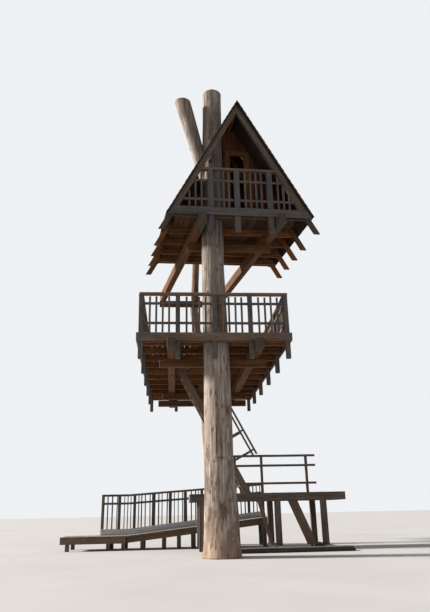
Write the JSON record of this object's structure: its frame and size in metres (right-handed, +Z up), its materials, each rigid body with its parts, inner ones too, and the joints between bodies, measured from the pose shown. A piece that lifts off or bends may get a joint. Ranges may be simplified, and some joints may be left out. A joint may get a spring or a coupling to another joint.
{
  "type": "tree house",
  "caption": "Tree house on debarked trunks: a railed platform, an A-frame cabin on a turned upper platform, a ladder stair, a low deck and a rising ramp.",
  "frame": {"origin": "centre of the main trunk's foot, on the ground", "axes": "+X to the right along the front, +Y away from the front, +Z up"},
  "size_m": [7.68, 8.44, 12.6],
  "materials": {
    "trunk": "debarked trunk, dry and weathered pale grey",
    "rear_trunk": "trunk with thin reddish brown bark",
    "weathered_timber": "sawn timber weathered grey-brown",
    "sheltered_timber": "sawn timber kept dry, warm brown",
    "decking": "sawn deck boards, worn",
    "roof_boards": "dark stained roof boards",
    "cabin_boards": "reddish brown wall boards",
    "door_timber": "orange-brown door frame",
    "ground_timber": "damp dark timber"
  },
  "bodies": {
    "root": {"main_trunk": "trunk", "rear_trunk": "rear_trunk", "lower_bearers": "sheltered_timber", "lower_crossbeams": "sheltered_timber", "lower_joists": "sheltered_timber", "hatch_headers": "sheltered_timber", "lower_decking": "decking", "lower_fascia_front": "weathered_timber", "lower_fascia_back": "weathered_timber", "lower_fascia_sides": "weathered_timber", "lower_railing_front": "weathered_timber", "lower_railing_back": "weathered_timber", "lower_railing_right": "weathered_timber", "lower_railing_left": "weathered_timber", "stair_stringers": "weathered_timber", "stair_treads": "weathered_timber", "stair_handrails": "weathered_timber", "upper_bearers": "sheltered_timber", "upper_crossbeams": "sheltered_timber", "upper_joists": "sheltered_timber", "upper_decking": "decking", "upper_fascia_front": "weathered_timber", "upper_fascia_back": "weathered_timber", "rafters_left": "sheltered_timber", "rafters_right": "sheltered_timber", "ridge_board": "sheltered_timber", "roof_left": "roof_boards", "roof_right": "roof_boards", "bargeboard_front_left": "weathered_timber", "bargeboard_front_right": "weathered_timber", "bargeboard_back_left": "weathered_timber", "bargeboard_back_right": "weathered_timber", "cabin_wall_left": "cabin_boards", "cabin_wall_right": "cabin_boards", "cabin_wall_over_door": "cabin_boards", "door_frame": "door_timber", "cabin_back_wall": "cabin_boards", "balcony_railing": "weathered_timber", "low_deck_beams": "weathered_timber", "low_deck_joists": "weathered_timber", "low_deck_boards": "decking", "low_deck_posts": "weathered_timber", "low_deck_braces": "weathered_timber", "low_deck_railing": "weathered_timber", "front_sill": "ground_timber", "sleepers": "ground_timber", "ramp_boards": "decking", "ramp_beams": "weathered_timber", "ramp_posts": "weathered_timber", "ramp_fence_level": "weathered_timber", "ramp_fence_rising": "weathered_timber"}
  },
  "joints": []
}
